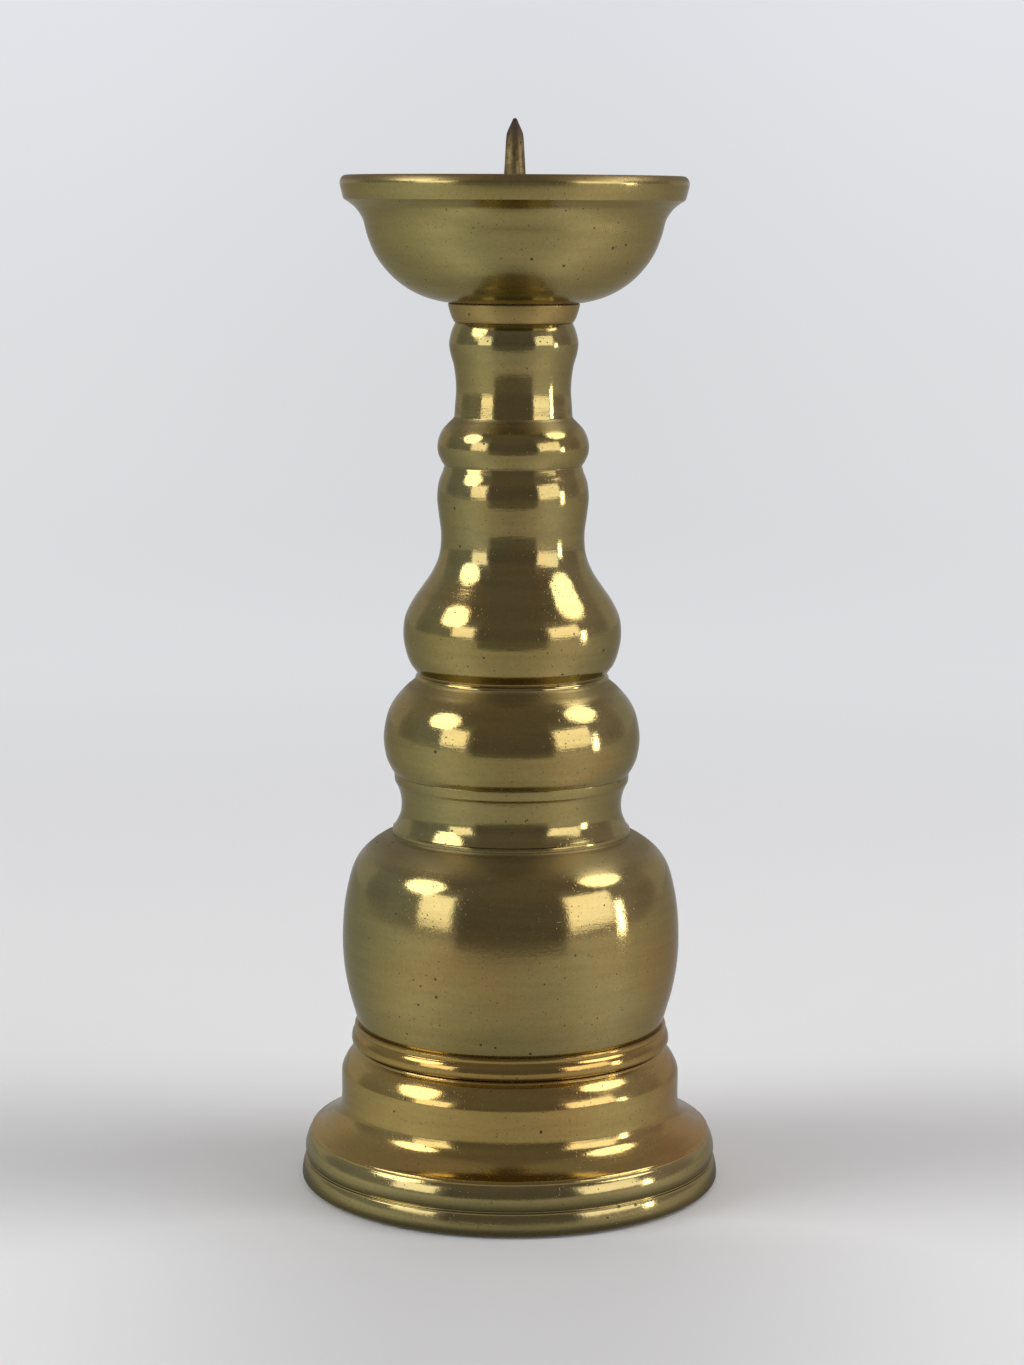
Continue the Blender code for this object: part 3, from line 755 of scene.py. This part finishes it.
def paper():
    """White paper that is lit near the object, with painted shadows in front of it and to
    either side, and evenly pale further off but for a band of painted shade behind it.
    """
    made = Surface("studio_paper")
    # Painted shadows on the paper: a soft one in front of the object, and a band to either side
    # of it.
    painted_shadow_in_front = abs(made.x).ramp(0.07, 0.008) * made.y.ramp(-0.01, -0.035)
    beside = abs(made.y - 0.013).ramp(0.058, 0.0)
    shade = (painted_shadow_in_front * 0.75).most(beside * 0.6)
    white = shade.mixed(colour(0.9, 0.915, 0.91), colour(0.64, 0.645, 0.645))
    made.feeds(base_color=white, roughness=0.9, specular_ior_level=0.1)
    # A faint band of painted shade on the pale backdrop behind the object.
    painted_shade_behind = abs(made.x).ramp(0.34, 0.0) * 0.055 * made.y.ramp(0.3, 1.0)
    far = emission(made, made.z.ramp(0.0, 0.35).mixed(PALE, PALE_HIGH), 1.0 - painted_shade_behind)
    blend = made.radius.ramp(0.10, 0.55)
    near = Value(made.tree, made.shader.outputs[0])
    return surfaced(made, made.place.node(
        "ShaderNodeMixShader", inputs={0: blend, 1: near, 2: far}))


def mirrored_paper():
    """The table as the brass mirrors it, a glowing sheet of painted light and shade: brightest
    where the windows light it, dim in front, where whoever works at it stands, and dim at
    the foot's own shadow."""
    made = Surface("mirrored_paper")
    forward = made.y / (0.0 - made.radius)
    sideways = made.x / made.radius
    stops = ((-1.0, 0.44), (-0.87, 0.42), (-0.5, 0.47), (0.0, 0.62), (0.5, 0.78),
             (0.87, 0.60), (1.0, 0.52))
    level = forward.curve(stops)
    front = made.y.ramp(-0.29, -0.37) * abs(sideways).ramp(0.66, 0.56)
    level = level * (1.0 - front * 0.6) * (0.7 + made.radius.ramp(0.03, 0.07) * 0.3)
    level = level * (0.35 + made.radius.ramp(0.0295, 0.042) * 0.65)
    tint = (sideways * 0.5 + 0.5).mixed(colour(0.95, 1.0, 1.0), colour(1.03, 1.0, 1.02))
    return surfaced(made, emission(made, tint, level))


def studio():
    """A round sheet of paper with a raised rim. Neither is reflected, so the brass
    mirrors the room, and another sheet that only reflections see, which glows with the
    table's painted light and shade."""
    plain = paper()
    floor = sheet("paper_floor", FLOOR_RADIUS, 0.0, plain)

    shape = bmesh.new()
    outline = [(FLOOR_RADIUS, 0)] + arc((FLOOR_RADIUS, RIM_BEND), RIM_BEND, -90, -8, 24)
    outline.append((FLOOR_RADIUS + RIM_BEND, RIM_HEIGHT))
    spun(shape, outline, 96, closed=False)
    bmesh.ops.remove_doubles(shape, verts=shape.verts, dist=1e-6)
    rim = stage_object("paper_rim", shape, plain)

    mirrored = sheet("mirrored_floor", MIRROR_RADIUS, MIRROR_HEIGHT, mirrored_paper())
    mirrored.visible_camera = False
    for made in (floor, rim):
        made.visible_glossy = False
    for made in (rim, mirrored):
        made.visible_diffuse = False
        made.visible_shadow = False


LAMP_CENTRE = Vector((0.0, 0.0, 0.065))
LAMP_DISTANCE = 1.0


def lamp(name, azimuth, elevation, width, height, radiance, disc=False):
    """A flat light facing the middle of the object. Azimuth 0 is the camera's side,
    and positive is to the right. Its width and height are given as angles."""
    side, up = math.radians(azimuth), math.radians(elevation)
    away = Vector((math.sin(side) * math.cos(up), -math.cos(side) * math.cos(up), math.sin(up)))
    light = bpy.data.lights.new(name, "AREA")
    light.shape = "ELLIPSE" if disc else "RECTANGLE"
    light.size = 2 * LAMP_DISTANCE * math.tan(math.radians(width / 2))
    light.size_y = 2 * LAMP_DISTANCE * math.tan(math.radians(height / 2))
    area = light.size * light.size_y * (math.pi / 4 if disc else 1.0)
    light.energy = radiance * math.pi * area
    made = bpy.data.objects.new(name, light)
    bpy.context.scene.collection.objects.link(made)
    made.location = LAMP_CENTRE + away * LAMP_DISTANCE
    made.rotation_euler = away.to_track_quat("Z", "Y").to_euler()
    made.visible_camera = False
    return made


def lights():
    """Two round softboxes, two windows with a bright gap beside the right one, and a
    dim light overhead that the brass doesn't mirror."""
    lamp("left_softbox", -74, 34.5, 29, 28, 4.6, disc=True)
    lamp("right_softbox", 89, 44, 30, 25, 4.4, disc=True)
    lamp("left_window", -54, 14.5, 25, 22, 2.35)
    lamp("right_window", 58, 15, 35, 24, 2.3)
    lamp("right_gap", 80.5, 2.5, 6, 14, 10.0)
    overhead = lamp("overhead", 180, 66, 70, 50, 0.42)
    overhead.visible_glossy = False


def room():
    """The room round the table: grey walls, cooler on one side than the other, paler
    behind the table, a dim ceiling, and somebody dark who stands in front."""
    world = bpy.data.worlds.new("room")
    bpy.context.scene.world = world
    world.use_nodes = True
    tree = world.node_tree
    x, y, z = Value(tree).node("ShaderNodeTexCoord", output="Generated").parts()
    flat = (x * x + y * y) ** 0.5 + 0.0001
    side, forward = x / flat, y / (0.0 - flat)
    walls = (side * 0.5 + 0.5).mixed(colour(0.35, 0.375, 0.42), colour(0.43, 0.385, 0.44))
    ceiling = forward.ramp(-0.2, 0.7).mixed(
        colour(0.36, 0.33, 0.335), colour(0.215, 0.2, 0.205))
    look = z.ramp(0.35, 0.8).mixed(walls, ceiling)
    low = z.ramp(0.5, 0.1)
    shaded = abs(forward + 0.3).ramp(0.25, 0.1) * low
    look = (shaded * 0.25).mixed(look, colour(0.15, 0.145, 0.15))
    behind = forward.ramp(-0.52, -0.62) * z.ramp(0.55, 0.3)
    look = behind.mixed(look, colour(0.53, 0.525, 0.56))
    look = z.ramp(0.0, -0.03).mixed(look, colour(0.6, 0.605, 0.615))
    person = forward.ramp(0.765, 0.82) * z.ramp(0.96, 0.86)
    look = person.mixed(look, z.ramp(0.2, 0.6).mixed(
        colour(0.18, 0.17, 0.182), colour(0.215, 0.2, 0.205)))
    tree.links.new(look.socket, tree.nodes["Background"].inputs["Color"])


CAMERA_PLACE = (0.0, -0.44589, 0.13819)
CAMERA_DIP = 8.487  # degrees, as is the lean
CAMERA_LEAN = 0.305
FOCAL_LENGTH = 84.4  # mm


def camera():
    """A long lens, a little below the rim of the dish, looking slightly down. The
    camera leans by a third of a degree."""
    lens = bpy.data.cameras.new("camera")
    lens.lens = FOCAL_LENGTH
    lens.sensor_width = 36.0
    made = bpy.data.objects.new("camera", lens)
    bpy.context.scene.collection.objects.link(made)
    made.matrix_world = (
        Matrix.Translation(CAMERA_PLACE)
        @ Matrix.Rotation(math.radians(90 - CAMERA_DIP), 4, "X")
        @ Matrix.Rotation(math.radians(CAMERA_LEAN), 4, "Z")
    )
    bpy.context.scene.camera = made


studio()
lights()
room()
camera()
bpy.context.scene.view_settings.view_transform = "Standard"
